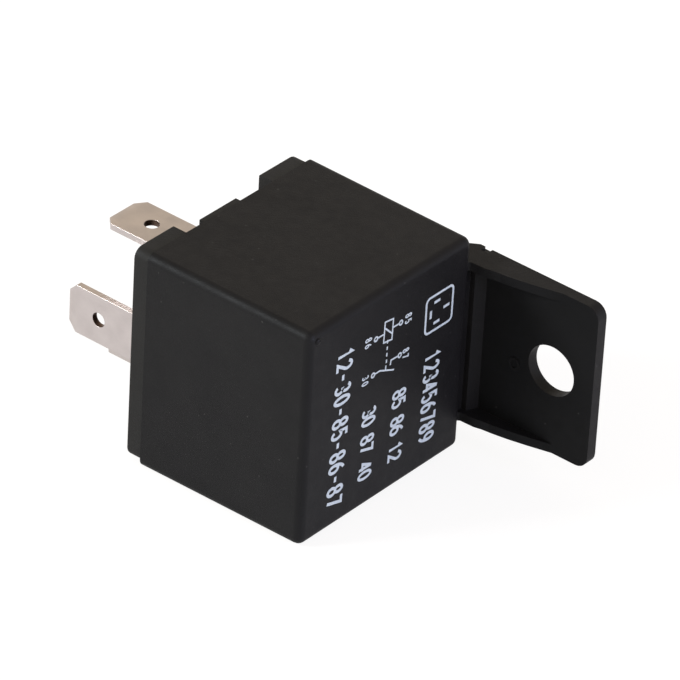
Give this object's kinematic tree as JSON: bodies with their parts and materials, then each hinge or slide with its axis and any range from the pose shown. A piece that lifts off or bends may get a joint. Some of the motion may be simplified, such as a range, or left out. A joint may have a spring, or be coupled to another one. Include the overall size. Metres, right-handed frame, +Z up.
{
  "type": "automotive relay",
  "caption": "Plug-in automotive relay with blade terminals, moulded cover and mounting tab; coil, hinged armature and make contact inside.",
  "frame": {"origin": "middle of the bottom of the bounding box, on the surface the relay lies on", "axes": "+X from the blade tips to the closed, printed end of the cover; +Y towards the mounting tab; +Z up, out of the cover's upper side"},
  "size_m": [0.0534, 0.0318, 0.0284],
  "materials": {
    "cover_plastic": "satin black moulded plastic",
    "base_plastic": "matte black moulded plastic",
    "bobbin_plastic": "natural moulded plastic",
    "tinned_brass": "tin-plated",
    "plated_steel": "zinc-plated",
    "enamelled_copper": "enamelled wire",
    "spring_copper": "rolled spring strip",
    "contact_silver": "satin silver alloy",
    "rivet_steel": "plated"
  },
  "bodies": {
    "housing": {"cover": "cover_plastic", "base": "base_plastic", "terminal_30": "tinned_brass", "terminal_87": "tinned_brass", "terminal_85": "tinned_brass", "terminal_86": "tinned_brass", "rest_stop": "tinned_brass", "yoke": "plated_steel", "core": "plated_steel", "bobbin": "bobbin_plastic", "coil_winding": "enamelled_copper", "fixed_contact": "contact_silver", "yoke_rivets": "rivet_steel"},
    "armature": {"armature": "plated_steel", "contact_spring": "spring_copper", "moving_contact": "contact_silver", "armature_rivets": "rivet_steel"}
  },
  "joints": [
    {"name": "armature_hinge", "type": "hinge", "parent": "housing", "child": "armature", "pos_m": [0.00432, 0.00735, 0.0142], "axis": [0, 0, -1], "range_deg": [0, 2.27], "stiffness_Nm_per_rad": 0.17, "springref_deg": -1.83, "deforming": ["contact_spring"]}
  ]
}
